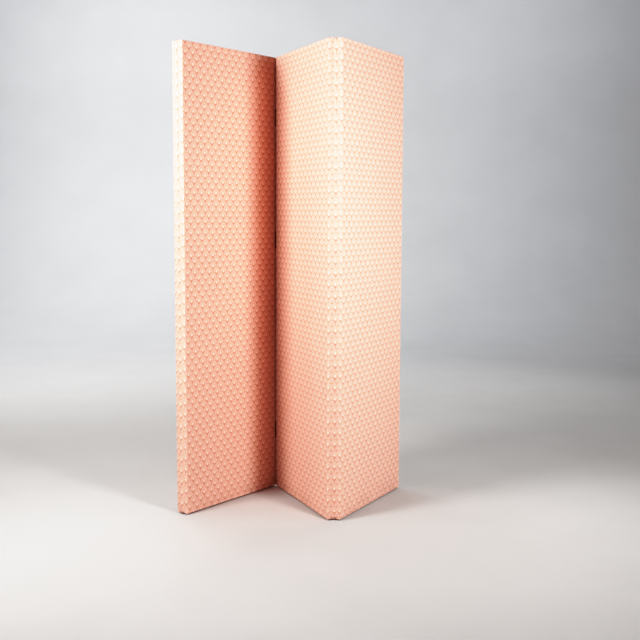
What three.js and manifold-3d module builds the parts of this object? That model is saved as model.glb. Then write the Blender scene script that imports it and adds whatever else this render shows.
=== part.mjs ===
// Accordion folding partition: four upholstered panels joined by three folds.
// Millimetres, +Z up. At rest it stands half open: panel 1 lies flat behind
// panel 2, the next fold is a valley towards -Y, the last one a ridge.

import * as THREE from 'three';
import { mergeVertices } from 'three/addons/utils/BufferGeometryUtils.js';
import Module from 'manifold-3d';

const wasm = await Module();
wasm.setup();

// ---------- driving dimensions ----------
const HEIGHT = 1690;        // floor to the top edge
const WIDTH = 500;          // one panel
const THICK = 24.6;         // one panel, over the fabric
const FOOT = 4;             // glide height: floor to the panel's bottom edge

const COVER = 1.2;          // fabric over thin wadding
const GAP = 0.3;            // between neighbouring solids
const BOARD = 1.5;          // lining board
const FRAME = 18;           // frame timber, thickness
const BATTEN = 45;          // frame timber, width
const TURN = 5;             // front fabric turned on to the back
const TENON = { thick: 8, length: 22, shoulder: 7 };

const REVEAL = 0.6;         // half the gap between two closing faces, and between two ends laid flat
const HINGE = { length: 65, heights: [230, 990, 1460] };
const LEAF = { thick: 1.2, depth: 15 };
const KNUCKLE = { radius: 2.5, bore: 1.4, pin: 1.1, count: 3 };
const NOTCH = 3.2;          // pocket in the panel's corner round a hinge's knuckles
const SCREW = { radius: 1.5, reach: 15, spread: 22, inset: 10 };
const GLIDE = { radius: 8.5, inset: 15, nail: 1.0, nailLength: 15 };

// plan directions at rest, degrees from +X, each from a panel's left end to its right end
const HEADING = { panel1: -127.5, panel2: 52.5, panel3: -66.1, panel4: 60.7 };

// depths from the front face
const Y_BOARD_F = COVER + GAP;
const Y_FRAME = Y_BOARD_F + BOARD + GAP;
const Y_BOARD_B = Y_FRAME + FRAME + GAP;
const INSET = COVER + GAP;
const Z0 = FOOT;

// ---------- solids ----------
function solid(geometry) {
  const g = geometry.clone();
  g.deleteAttribute('normal');
  g.deleteAttribute('uv');
  const m = mergeVertices(g, 1e-5);
  return new wasm.Manifold(new wasm.Mesh({
    numProp: 3,
    vertProperties: new Float32Array(m.attributes.position.array),
    triVerts: new Uint32Array(m.index.array),
  }));
}

function geometryOf(manifold) {
  const m = manifold.getMesh();
  const p = new Float32Array((m.vertProperties.length / m.numProp) * 3);
  for (let i = 0; i < p.length / 3; i++) {
    for (let k = 0; k < 3; k++) p[i * 3 + k] = m.vertProperties[i * m.numProp + k];
  }
  const g = new THREE.BufferGeometry();
  g.setAttribute('position', new THREE.BufferAttribute(p, 3));
  g.setIndex(new THREE.BufferAttribute(new Uint32Array(m.triVerts), 1));
  g.computeVertexNormals();
  return g;
}

function box(x0, x1, y0, y1, z0, z1) {
  return solid(new THREE.BoxGeometry(x1 - x0, y1 - y0, z1 - z0)
    .translate((x0 + x1) / 2, (y0 + y1) / 2, (z0 + z1) / 2));
}

function prism(points, z0, z1) {
  const shape = new THREE.Shape(points.map(([x, y]) => new THREE.Vector2(x, y)));
  return solid(new THREE.ExtrudeGeometry(shape, { depth: z1 - z0, bevelEnabled: false })
    .translate(0, 0, z0));
}

function rodZ(x, y, radius, z0, z1, sides) {
  return solid(new THREE.CylinderGeometry(radius, radius, z1 - z0, sides)
    .rotateX(Math.PI / 2).translate(x, y, (z0 + z1) / 2));
}

function rodX(x0, x1, y, z, radius, sides) {
  const a = Math.min(x0, x1), b = Math.max(x0, x1);
  return solid(new THREE.CylinderGeometry(radius, radius, b - a, sides)
    .rotateZ(Math.PI / 2).translate((a + b) / 2, y, z));
}

// ---------- materials ----------
const paint = {
  fabric: { color: 0xe8a488, roughness: 0.9, metalness: 0 },
  pine: { color: 0xc9a56f, roughness: 0.75, metalness: 0 },
  board: { color: 0x8a6640, roughness: 0.8, metalness: 0 },
  steel: { color: 0x3a322c, roughness: 0.5, metalness: 0.9 },
  glide: { color: 0xb9bab7, roughness: 0.35, metalness: 0.2 },
};

function piece(name, manifold, look) {
  const mesh = new THREE.Mesh(
    geometryOf(manifold),
    new THREE.MeshStandardMaterial({ ...paint[look], flatShading: true }),
  );
  mesh.name = name;
  return mesh;
}

// ---------- hinges ----------
// A hinge sits at a panel's corner: u runs inwards from the end face and v
// inwards from the closing face, which is the face that meets its neighbour.
function corner(end, face) {
  return (u, v) => [end === 'left' ? u : WIDTH - u, face === 'front' ? v : THICK - v];
}

const KNUCKLE_STEP = HINGE.length / KNUCKLE.count;

// withPin: leaf with the two outer knuckles and the pin; otherwise the middle, bored one
function leaf(at, height, withPin) {
  const z0 = height - HINGE.length / 2;
  const z1 = height + HINGE.length / 2;
  const uLo = INSET, uHi = INSET + LEAF.thick;
  const plate = [[uLo, 2.6], [uHi, 2.6], [uHi, 2.6 + LEAF.depth], [uLo, 2.6 + LEAF.depth]];
  let body = prism(plate.map(([u, v]) => at(u, v)), z0, z1);
  const [px, py] = at(-REVEAL, -REVEAL);
  for (let i = 0; i < KNUCKLE.count; i++) {
    if ((i % 2 === 0) !== withPin) continue;
    const a = z0 + i * KNUCKLE_STEP + (i === 0 ? 0 : GAP / 2);
    const b = z0 + (i + 1) * KNUCKLE_STEP - (i === KNUCKLE.count - 1 ? 0 : GAP / 2);
    const neck = [[uLo, 2.9], [uHi, 2.9], [uHi, 0.8], [1.3, -1.9], [-REVEAL, -REVEAL], [0.7, 1.1]];
    let knuckle = prism(neck.map(([u, v]) => at(u, v)), a, b);
    knuckle = knuckle.add(rodZ(px, py, KNUCKLE.radius, a, b, 12));
    if (!withPin) knuckle = knuckle.subtract(rodZ(px, py, KNUCKLE.bore, a - 1, b + 1, 12));
    body = body.add(knuckle);
  }
  if (withPin) body = body.add(rodZ(px, py, KNUCKLE.pin, z0 - 0.8, z1 + 0.8, 12));
  for (const dz of [-SCREW.spread, 0, SCREW.spread]) {
    const [x0, y] = at(INSET + 0.4, SCREW.inset);
    const [x1] = at(INSET + LEAF.thick + SCREW.reach, SCREW.inset);
    body = body.add(rodX(x0, x1, y, height + dz, SCREW.radius, 6));
  }
  return body;
}

// what a hinge takes out of the fabric and the boards
function notch(at, height, uDepth) {
  const z0 = height - HINGE.length / 2 - 1.4, z1 = height + HINGE.length / 2 + 1.4;
  const [xa, ya] = at(-2, -2), [xb, yb] = at(uDepth, NOTCH);
  return box(Math.min(xa, xb), Math.max(xa, xb), Math.min(ya, yb), Math.max(ya, yb), z0, z1);
}

// what a hinge takes out of a stile: the leaf's housing and three pilot holes
function housing(at, height) {
  const z0 = height - HINGE.length / 2 - GAP, z1 = height + HINGE.length / 2 + GAP;
  const [xa, ya] = at(-2, -2), [xb, yb] = at(INSET + LEAF.thick + GAP, 2.6 + LEAF.depth + GAP);
  let cut = box(Math.min(xa, xb), Math.max(xa, xb), Math.min(ya, yb), Math.max(ya, yb), z0, z1);
  for (const dz of [-SCREW.spread, 0, SCREW.spread]) {
    const [x0, y] = at(INSET, SCREW.inset);
    const [x1] = at(INSET + LEAF.thick + SCREW.reach + 2, SCREW.inset);
    cut = cut.add(rodX(x0, x1, y, height + dz, SCREW.radius + 0.45, 6));
  }
  return cut;
}

// ---------- glides ----------
function glide(x) {
  const top = FOOT - GAP;
  const r = GLIDE.radius;
  const profile = [
    [0, 0], [r - 2.2, 0], [r - 0.6, 0.8], [r, 2.0], [r - 0.5, 2.9], [r - 2.5, top],
    [GLIDE.nail, top], [GLIDE.nail, top + GLIDE.nailLength - 2], [0, top + GLIDE.nailLength],
  ].map(([a, b]) => new THREE.Vector2(a, b));
  return solid(new THREE.LatheGeometry(profile, 16).rotateX(Math.PI / 2)
    .translate(x, THICK / 2, 0));
}

function glideHole(x, radius) {
  return rodZ(x, THICK / 2, radius, Z0 - 2, Z0 + GLIDE.nailLength + 3, 10);
}

// ---------- one panel ----------
// Its own frame: x from its left end, y from the front face, z from the floor.
function panel(name, hinges) {
  const group = new THREE.Group();
  const corners = [];
  for (const h of hinges) {
    HINGE.heights.forEach((z, i) => corners.push({
      at: corner(h.end, h.face), end: h.end, z,
      leafName: `${h.fold}_leaf_${['low', 'mid', 'high'][i]}_${name}`, pin: h.pin,
    }));
  }
  const feet = [GLIDE.inset, WIDTH - GLIDE.inset];

  // front cover: a shallow tray with a narrow turn round the back
  let front = box(0, WIDTH, 0, THICK, Z0, HEIGHT)
    .subtract(box(COVER, WIDTH - COVER, COVER, THICK - COVER, Z0 + COVER, HEIGHT - COVER))
    .subtract(box(TURN, WIDTH - TURN, THICK - COVER - 1, THICK + 1, Z0 + TURN, HEIGHT - TURN));
  // back cover: a flat piece inside the turned edge
  let back = box(TURN + GAP, WIDTH - TURN - GAP, THICK - COVER, THICK,
    Z0 + TURN + GAP, HEIGHT - TURN - GAP);
  let boardFront = box(INSET, WIDTH - INSET, Y_BOARD_F, Y_BOARD_F + BOARD,
    Z0 + INSET, HEIGHT - INSET);
  let boardBack = box(INSET, WIDTH - INSET, Y_BOARD_B, Y_BOARD_B + BOARD,
    Z0 + INSET, HEIGHT - INSET);

  // frame
  const y0 = Y_FRAME, y1 = Y_FRAME + FRAME, yc = (y0 + y1) / 2;
  const zb = Z0 + INSET, zt = HEIGHT - INSET;
  const xl = INSET + BATTEN, xr = WIDTH - INSET - BATTEN;
  const stiles = {
    left: box(INSET, xl, y0, y1, zb, zt),
    right: box(xr, WIDTH - INSET, y0, y1, zb, zt),
  };
  const rails = {};
  for (const [key, ra, rb] of [['bottom', zb, zb + BATTEN], ['top', zt - BATTEN, zt]]) {
    const ta = ra + TENON.shoulder, tb = rb - TENON.shoulder;
    rails[key] = box(xl + GAP, xr - GAP, y0, y1, ra, rb)
      .add(box(xl - TENON.length, xr + TENON.length,
        yc - TENON.thick / 2, yc + TENON.thick / 2, ta, tb));
    const mortise = box(xl - TENON.length - GAP, xr + TENON.length + GAP,
      yc - TENON.thick / 2 - GAP, yc + TENON.thick / 2 + GAP, ta - GAP, tb + GAP);
    stiles.left = stiles.left.subtract(mortise);
    stiles.right = stiles.right.subtract(mortise);
  }

  for (const c of corners) {
    front = front.subtract(notch(c.at, c.z, TURN + 0.1));
    boardFront = boardFront.subtract(notch(c.at, c.z, NOTCH));
    boardBack = boardBack.subtract(notch(c.at, c.z, NOTCH));
    stiles[c.end] = stiles[c.end].subtract(housing(c.at, c.z));
    group.add(piece(c.leafName, leaf(c.at, c.z, c.pin), 'steel'));
  }
  feet.forEach((x, i) => {
    front = front.subtract(glideHole(x, 1.5));
    const side = i ? 'right' : 'left';
    stiles[side] = stiles[side].subtract(glideHole(x, 1.5));
    group.add(piece(`${name}_glide_${side}`, glide(x), 'glide'));
  });

  group.add(piece(`${name}_cover_front`, front, 'fabric'));
  group.add(piece(`${name}_cover_back`, back, 'fabric'));
  group.add(piece(`${name}_board_front`, boardFront, 'board'));
  group.add(piece(`${name}_board_back`, boardBack, 'board'));
  group.add(piece(`${name}_stile_left`, stiles.left, 'pine'));
  group.add(piece(`${name}_stile_right`, stiles.right, 'pine'));
  group.add(piece(`${name}_rail_bottom`, rails.bottom, 'pine'));
  group.add(piece(`${name}_rail_top`, rails.top, 'pine'));
  return group;
}

// ---------- plan at rest ----------
const rad = (deg) => (deg * Math.PI) / 180;
const along = (name) => [Math.cos(rad(HEADING[name])), Math.sin(rad(HEADING[name]))];
const across = (name) => { const [x, y] = along(name); return [-y, x]; };
function worldOf(origin, name, x, y) {
  const d = along(name), n = across(name);
  return [origin[0] + d[0] * x + n[0] * y, origin[1] + d[1] * x + n[1] * y];
}
function originFrom(pivot, name, x, y) {
  const d = along(name), n = across(name);
  return [pivot[0] - d[0] * x - n[0] * y, pivot[1] - d[1] * x - n[1] * y];
}
// pivot positions in a panel's own frame
const pivotAt = (end, face) => corner(end, face)(-REVEAL, -REVEAL);

const origin = { panel2: [0, 0] };
const pivots = {};
pivots.fold12 = worldOf(origin.panel2, 'panel2', ...pivotAt('left', 'back'));
origin.panel1 = originFrom(pivots.fold12, 'panel1', ...pivotAt('right', 'back'));
pivots.fold23 = worldOf(origin.panel2, 'panel2', ...pivotAt('right', 'front'));
origin.panel3 = originFrom(pivots.fold23, 'panel3', ...pivotAt('left', 'front'));
pivots.fold34 = worldOf(origin.panel3, 'panel3', ...pivotAt('right', 'back'));
origin.panel4 = originFrom(pivots.fold34, 'panel4', ...pivotAt('left', 'back'));

const panels = {
  panel1: panel('panel1', [{ end: 'right', face: 'back', fold: 'fold12', pin: false }]),
  panel2: panel('panel2', [
    { end: 'left', face: 'back', fold: 'fold12', pin: true },
    { end: 'right', face: 'front', fold: 'fold23', pin: false },
  ]),
  panel3: panel('panel3', [
    { end: 'left', face: 'front', fold: 'fold23', pin: true },
    { end: 'right', face: 'back', fold: 'fold34', pin: false },
  ]),
  panel4: panel('panel4', [{ end: 'left', face: 'back', fold: 'fold34', pin: true }]),
};

const assembly = new THREE.Group();
for (const [name, group] of Object.entries(panels)) {
  group.position.set(origin[name][0], origin[name][1], 0);
  group.rotation.z = rad(HEADING[name]);
  assembly.add(group);
}

// origin at the middle of the footprint, on the floor
const screen = new THREE.Group();
screen.name = 'folding_partition';
screen.add(assembly);
screen.updateMatrixWorld(true);
const extent = new THREE.Box3().setFromObject(screen, true);
assembly.position.set(-(extent.min.x + extent.max.x) / 2, -(extent.min.y + extent.max.y) / 2, 0);
screen.updateMatrixWorld(true);
screen.userData.pivots = Object.fromEntries(Object.entries(pivots).map(([k, [x, y]]) => [
  k, [x + assembly.position.x, y + assembly.position.y],
]));
screen.userData.origins = Object.fromEntries(Object.entries(origin).map(([k, [x, y]]) => [
  k, [x + assembly.position.x, y + assembly.position.y],
]));

export default screen;
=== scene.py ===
import math

import bpy
import numpy as np
from mathutils import Matrix, Vector


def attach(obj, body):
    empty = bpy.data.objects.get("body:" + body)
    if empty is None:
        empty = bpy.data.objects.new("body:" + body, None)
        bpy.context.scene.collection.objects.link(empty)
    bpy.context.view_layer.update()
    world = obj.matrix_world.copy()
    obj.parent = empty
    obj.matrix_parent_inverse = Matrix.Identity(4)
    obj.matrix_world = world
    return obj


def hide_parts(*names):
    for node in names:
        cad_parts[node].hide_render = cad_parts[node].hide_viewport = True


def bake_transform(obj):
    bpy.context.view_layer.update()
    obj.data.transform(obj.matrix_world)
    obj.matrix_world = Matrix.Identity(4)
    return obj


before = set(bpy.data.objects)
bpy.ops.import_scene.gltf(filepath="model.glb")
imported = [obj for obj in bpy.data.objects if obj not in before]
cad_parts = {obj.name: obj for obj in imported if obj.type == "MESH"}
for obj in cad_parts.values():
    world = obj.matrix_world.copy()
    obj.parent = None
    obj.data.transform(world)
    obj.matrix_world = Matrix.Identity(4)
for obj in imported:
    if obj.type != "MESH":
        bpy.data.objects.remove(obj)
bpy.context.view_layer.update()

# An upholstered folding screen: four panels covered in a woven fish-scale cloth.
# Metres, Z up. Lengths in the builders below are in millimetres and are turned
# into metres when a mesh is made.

# ---------------------------------------------------------------- dimensions
HEIGHT, WIDTH, THICK, FOOT = 1690.0, 500.0, 24.6, 4.0
HINGE_HEIGHTS = (230.0, 990.0, 1460.0)
HINGE_LENGTH = 65.0
REVEAL = 0.6
NOTCH_U, NOTCH_V, NOTCH_Z = 3.05, 3.25, HINGE_LENGTH / 2 + 1.4
GLIDE_INSET = 15.0
HEADING = {"panel1": -127.5, "panel2": 52.5, "panel3": -66.1, "panel4": 60.7}
ORIGIN = {
    "panel1": (-115.02564, 245.07572),
    "panel2": (-379.42135, -182.28252),
    "panel3": (-73.40772, 214.19943),
    "panel4": (174.71513, -245.07572),
}
PANELS = ("panel1", "panel2", "panel3", "panel4")
# end, closing face, fold, carries the pin
HINGED = {
    "panel1": [("right", "back", "fold12", False)],
    "panel2": [("left", "back", "fold12", True), ("right", "front", "fold23", False)],
    "panel3": [("left", "front", "fold23", True), ("right", "back", "fold34", False)],
    "panel4": [("left", "back", "fold34", True)],
}

# cloth repeat, and where its dots fall on each panel: u shift, height of a dot row
REPEAT_A, REPEAT_B = 37.35, 40.6
PHASE = {  # (u offset, v offset) so that dots lie on the lattice
    "panel1": (3.8, -(1690.0 - 165.0)),
    "panel2": (3.5, -(1690.0 - 158.4) + REPEAT_B / 2),
    "panel3": (4.2, -(1690.0 - 172.0)),
    "panel4": (-0.3, -(1690.0 - 170.0) + REPEAT_B / 2),
}


def to_frame(points, panel):
    """Panel coordinates in mm (x from the left end, y from the front face, z) to the row frame in metres."""
    p = np.asarray(points, float).reshape(-1, 3)
    h = math.radians(HEADING[panel])
    d, n = (math.cos(h), math.sin(h)), (-math.sin(h), math.cos(h))
    ox, oy = ORIGIN[panel]
    out = np.empty_like(p)
    out[:, 0] = ox + d[0] * p[:, 0] + n[0] * p[:, 1]
    out[:, 1] = oy + d[1] * p[:, 0] + n[1] * p[:, 1]
    out[:, 2] = p[:, 2]
    return out / 1000.0


# ---------------------------------------------------------------- camera
camera_data = bpy.data.cameras.new("camera")
camera_data.sensor_fit = "HORIZONTAL"
camera_data.sensor_width = 36.0
camera_data.lens = 56.25
camera_data.clip_end = 60.0
camera = bpy.data.objects.new("camera", camera_data)
bpy.context.scene.collection.objects.link(camera)
camera.matrix_world = (
    Matrix.Translation((0.10124, -3.72214, 1.09741))
    @ Matrix.Rotation(math.radians(90.0) - 0.1073, 4, "X")
    @ Matrix.Rotation(0.0035, 4, "Z")
)
bpy.context.scene.camera = camera


# ---------------------------------------------------------------- node helpers
class Tree:
    """Short names for building a node tree."""

    def __init__(self, tree):
        self.t = tree

    def node(self, kind, **settings):
        n = self.t.nodes.new(kind)
        for k, v in settings.items():
            setattr(n, k, v)
        return n

    def put(self, socket, value):
        if isinstance(value, bpy.types.NodeSocket):
            self.t.links.new(value, socket)
        else:
            socket.default_value = value

    def m(self, op, a, b=None, c=None, clamp=False):
        n = self.node("ShaderNodeMath", operation=op, use_clamp=clamp)
        self.put(n.inputs[0], a)
        if b is not None:
            self.put(n.inputs[1], b)
        if c is not None:
            self.put(n.inputs[2], c)
        return n.outputs[0]

    def step(self, x, lo, hi, a=0.0, b=1.0):
        """Smooth step of x from lo to hi, from value a to value b."""
        n = self.node("ShaderNodeMapRange", interpolation_type="SMOOTHSTEP")
        self.put(n.inputs["Value"], x)
        for k, v in (("From Min", lo), ("From Max", hi), ("To Min", a), ("To Max", b)):
            self.put(n.inputs[k], v)
        return n.outputs[0]

    def mix(self, f, a, b, blend="MIX"):
        n = self.node("ShaderNodeMix", data_type="RGBA", blend_type=blend)
        self.put(n.inputs[0], f)
        self.put(n.inputs[6], a)
        self.put(n.inputs[7], b)
        return n.outputs[2]

    def noise(self, vector, scale, detail=2.0, roughness=0.5, distortion=0.0, dims="3D"):
        n = self.node("ShaderNodeTexNoise", noise_dimensions=dims)
        if vector is not None:
            self.put(n.inputs["Vector"], vector)
        n.inputs["Scale"].default_value = scale
        n.inputs["Detail"].default_value = detail
        n.inputs["Roughness"].default_value = roughness
        n.inputs["Distortion"].default_value = distortion
        return n.outputs["Fac"]

    def split(self, vector):
        n = self.node("ShaderNodeSeparateXYZ")
        self.put(n.inputs[0], vector)
        return n.outputs[0], n.outputs[1], n.outputs[2]

    def join(self, x, y, z=0.0):
        n = self.node("ShaderNodeCombineXYZ")
        for s, v in zip(n.inputs, (x, y, z)):
            self.put(s, v)
        return n.outputs[0]

    def scaled(self, vector, s):
        n = self.node("ShaderNodeMapping")
        self.put(n.inputs["Vector"], vector)
        n.inputs["Scale"].default_value = s
        return n.outputs[0]

    def bump(self, height, strength, distance, normal=None):
        n = self.node("ShaderNodeBump")
        n.inputs["Strength"].default_value = strength
        n.inputs["Distance"].default_value = distance
        self.put(n.inputs["Height"], height)
        if normal is not None:
            self.put(n.inputs["Normal"], normal)
        return n.outputs[0]


def srgb(r, g, b):
    def lin(c):
        c /= 255.0
        return c / 12.92 if c <= 0.04045 else ((c + 0.055) / 1.055) ** 2.4
    return (lin(r), lin(g), lin(b), 1.0)


def material(name):
    m = bpy.data.materials.new(name)
    m.use_nodes = True
    t = m.node_tree
    t.nodes.clear()
    k = Tree(t)
    out = k.node("ShaderNodeOutputMaterial")
    p = k.node("ShaderNodeBsdfPrincipled")
    t.links.new(p.outputs[0], out.inputs[0])
    return m, k, p


# ---------------------------------------------------------------- cloth
BUD = srgb(237, 201, 186)
PETAL = srgb(229, 183, 167)
INNER = srgb(222, 173, 156)
GROUND = srgb(217, 164, 146)
DEEP = srgb(205, 147, 128)


def scale_pattern(k, u, v):
    """The figure at a point of the cloth: bud, petals, the inside of a scale, and the deepest ground. u, v in metres."""
    a, b = REPEAT_A / 1000.0, REPEAT_B / 1000.0
    buds, petals, insides, deeps = [], [], [], []
    for shift in (0.5, 0.0):
        fx = k.m("SUBTRACT", k.m("FRACT", k.m("MULTIPLY_ADD", u, 1.0 / a, shift)), 0.5)
        fy = k.m("SUBTRACT", k.m("FRACT", k.m("MULTIPLY_ADD", v, 1.0 / b, shift)), 0.5)
        x = k.m("ABSOLUTE", fx)
        y = k.m("MULTIPLY", fy, b / a)          # in units of the width of a repeat
        # bud: a tall oval
        r = k.m("SQRT", k.m("ADD", k.m("POWER", k.m("MULTIPLY", x, 1.0 / 0.135), 2.0),
                            k.m("POWER", k.m("MULTIPLY", k.m("ADD", y, 0.015), 1.0 / 0.17), 2.0)))
        buds.append(k.step(r, 0.72, 1.12, 1.0, 0.0))
        # a pair of petals arching over the bud, parted at the top
        ry = k.m("SQRT", k.m("ADD", k.m("POWER", x, 2.0), k.m("POWER", k.m("MULTIPLY", y, 1.08), 2.0)))
        ring = k.m("MULTIPLY", k.step(ry, 0.25, 0.31), k.step(ry, 0.39, 0.44, 1.0, 0.0))
        upper = k.step(y, -0.12, 0.0)
        cut = k.m("MULTIPLY", k.step(x, 0.03, 0.10, 1.0, 0.0), k.step(y, 0.12, 0.2))
        petals.append(k.m("MULTIPLY", k.m("MULTIPLY", ring, upper), k.m("SUBTRACT", 1.0, k.m("MULTIPLY", cut, 0.8))))
        insides.append(k.m("MULTIPLY", k.step(ry, 0.415, 0.46, 1.0, 0.0), k.step(y, -0.16, -0.02)))
        low = k.m("MULTIPLY", k.step(y, -0.52, -0.30), k.step(y, -0.22, -0.10, 1.0, 0.0))
        deeps.append(k.m("MULTIPLY", low, k.step(x, 0.08, 0.30, 1.0, 0.0)))
    return tuple(k.m("MAXIMUM", *pair) for pair in (buds, petals, insides, deeps))


def cloth_material(name, reverse=False):
    m, k, p = material(name)
    uvn = k.node("ShaderNodeUVMap", uv_map="cloth")
    u, v, _ = k.split(uvn.outputs[0])
    coords = k.node("ShaderNodeTexCoord").outputs["Object"]

    # threads: the figure is woven, so its edges step from thread to thread
    pitch = 0.0011
    warp = k.m("MULTIPLY", u, 1.0 / pitch)
    weft = k.m("MULTIPLY", v, 1.0 / pitch)
    us = k.m("MULTIPLY", k.m("ADD", k.m("FLOOR", warp), 0.5), pitch)
    vs = k.m("MULTIPLY", k.m("ADD", k.m("FLOOR", weft), 0.5), pitch)
    bud, petal, inside, deep = scale_pattern(k, us, vs)

    wu = k.m("SUBTRACT", k.m("FRACT", warp), 0.5)
    wv = k.m("SUBTRACT", k.m("FRACT", weft), 0.5)
    # a plain weave: which thread is on top alternates
    over = k.m("MODULO", k.m("ADD", k.m("ABSOLUTE", k.m("FLOOR", warp)), k.m("ABSOLUTE", k.m("FLOOR", weft))), 2.0)
    hu = k.m("SUBTRACT", 1.0, k.m("MULTIPLY", k.m("POWER", wu, 2.0), 4.0))
    hv = k.m("SUBTRACT", 1.0, k.m("MULTIPLY", k.m("POWER", wv, 2.0), 4.0))
    up = k.m("ADD", k.m("MULTIPLY", over, k.m("SUBTRACT", hu, k.m("MULTIPLY", k.m("POWER", wv, 2.0), 1.2))),
             k.m("MULTIPLY", k.m("SUBTRACT", 1.0, over), k.m("SUBTRACT", hv, k.m("MULTIPLY", k.m("POWER", wu, 2.0), 1.2))))

    fibre = k.noise(k.scaled(coords, (1.0, 1.0, 1.0)), 900.0, 2.0, 0.6)
    slub = k.noise(k.join(k.m("MULTIPLY", us, 900.0), k.m("MULTIPLY", vs, 30.0)), 1.0, 1.0, 0.5)
    patch = k.noise(coords, 2.6, 3.0, 0.55)
    patch2 = k.noise(coords, 11.0, 2.0, 0.5)

    figure = k.m("MAXIMUM", bud, k.m("MULTIPLY", petal, 0.8))
    shown = 0.4 if reverse else 1.0
    colour = k.mix(deep, GROUND, DEEP)
    colour = k.mix(inside, colour, INNER)
    colour = k.mix(k.m("MULTIPLY", petal, shown), colour, PETAL)
    colour = k.mix(k.m("MULTIPLY", bud, shown), colour, BUD)

    # thread shading, slubs, and slow fading over the cloth
    shade = k.m("ADD", 0.94, k.m("MULTIPLY", up, 0.06))
    shade = k.m("MULTIPLY", shade, k.m("ADD", 0.965, k.m("MULTIPLY", fibre, 0.07)))
    shade = k.m("MULTIPLY", shade, k.m("ADD", 0.975, k.m("MULTIPLY", slub, 0.05)))
    shade = k.m("MULTIPLY", shade, k.m("ADD", 0.975, k.m("MULTIPLY", patch, 0.05)))
    grey = k.join(shade, shade, shade)
    colour = k.mix(1.0, colour, grey, "MULTIPLY")
    faded = k.mix(k.step(patch2, 0.35, 0.75, 0.0, 0.05), colour, srgb(234, 200, 184))

    # handling: edges rub paler, the foot gathers a little dust
    wear = k.node("ShaderNodeAttribute", attribute_name="wear").outputs["Fac"]
    foot = k.node("ShaderNodeAttribute", attribute_name="foot").outputs["Fac"]
    worn = k.m("MULTIPLY", wear, k.step(k.noise(coords, 70.0, 3.0, 0.6), 0.42, 0.66))
    colour = k.mix(k.m("MULTIPLY", worn, 0.35), faded, srgb(236, 206, 190))
    dirt = k.m("MULTIPLY", foot, k.step(k.noise(coords, 24.0, 3.0, 0.6), 0.35, 0.7))
    colour = k.mix(k.m("MULTIPLY", dirt, 0.3), colour, srgb(168, 126, 108))

    k.put(p.inputs["Base Color"], colour)
    rough = k.m("ADD", 0.80, k.m("MULTIPLY", k.m("SUBTRACT", 1.0, figure), 0.10))
    rough = k.m("ADD", rough, k.m("MULTIPLY", worn, 0.06))
    k.put(p.inputs["Roughness"], rough)
    p.inputs["Specular IOR Level"].default_value = 0.25
    p.inputs["Sheen Weight"].default_value = 0.12
    p.inputs["Sheen Roughness"].default_value = 0.45
    p.inputs["Sheen Tint"].default_value = srgb(255, 232, 214)
    relief = k.m("ADD", k.m("MULTIPLY", up, 0.30), k.m("MULTIPLY", figure, 0.55))
    relief = k.m("ADD", relief, k.m("MULTIPLY", fibre, 0.12))
    normal = k.bump(relief, 0.6, 0.0004)
    k.put(p.inputs["Normal"], normal)
    return m


cloth = cloth_material("scale_cloth")
cloth_back = cloth_material("scale_cloth_reverse", reverse=True)


def thread_material():
    m, k, p = material("sewing_thread")
    coords = k.node("ShaderNodeTexCoord").outputs["Object"]
    n = k.noise(coords, 1500.0, 2.0)
    c = k.mix(n, srgb(222, 150, 122), srgb(246, 196, 166))
    k.put(p.inputs["Base Color"], c)
    k.put(p.inputs["Roughness"], k.m("ADD", 0.6, k.m("MULTIPLY", n, 0.2)))
    k.put(p.inputs["Normal"], k.bump(n, 0.5, 0.0001))
    return m


def pine_material():
    m, k, p = material("pine")
    coords = k.node("ShaderNodeTexCoord").outputs["Object"]
    warped = k.noise(k.scaled(coords, (4.0, 4.0, 0.6)), 3.0, 3.0, 0.5)
    x, y, z = k.split(coords)
    ring = k.m("SINE", k.m("ADD", k.m("MULTIPLY", k.m("ADD", x, k.m("MULTIPLY", y, 0.4)), 620.0), k.m("MULTIPLY", warped, 26.0)))
    late = k.step(ring, 0.1, 0.95)
    fine = k.noise(k.scaled(coords, (1.0, 1.0, 0.04)), 900.0, 3.0, 0.65)
    tone = k.noise(coords, 5.0, 2.0)
    c = k.mix(late, srgb(226, 190, 138), srgb(196, 146, 92))
    c = k.mix(k.m("MULTIPLY", fine, 0.35), c, srgb(170, 118, 70))
    c = k.mix(k.m("MULTIPLY", tone, 0.25), c, srgb(236, 206, 160))
    k.put(p.inputs["Base Color"], c)
    k.put(p.inputs["Roughness"], k.m("ADD", 0.62, k.m("MULTIPLY", fine, 0.2)))
    k.put(p.inputs["Normal"], k.bump(k.m("ADD", fine, k.m("MULTIPLY", late, 0.4)), 0.35, 0.0004))
    return m


def board_material():
    m, k, p = material("hardboard")
    coords = k.node("ShaderNodeTexCoord").outputs["Object"]
    fibre = k.noise(k.scaled(coords, (1.0, 1.0, 0.35)), 420.0, 4.0, 0.7)
    cloud = k.noise(coords, 14.0, 3.0, 0.6)
    c = k.mix(fibre, srgb(112, 76, 44), srgb(166, 122, 78))
    c = k.mix(k.m("MULTIPLY", cloud, 0.4), c, srgb(134, 92, 56))
    k.put(p.inputs["Base Color"], c)
    k.put(p.inputs["Roughness"], k.m("ADD", 0.55, k.m("MULTIPLY", fibre, 0.3)))
    k.put(p.inputs["Normal"], k.bump(fibre, 0.4, 0.0003))
    return m


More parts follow.
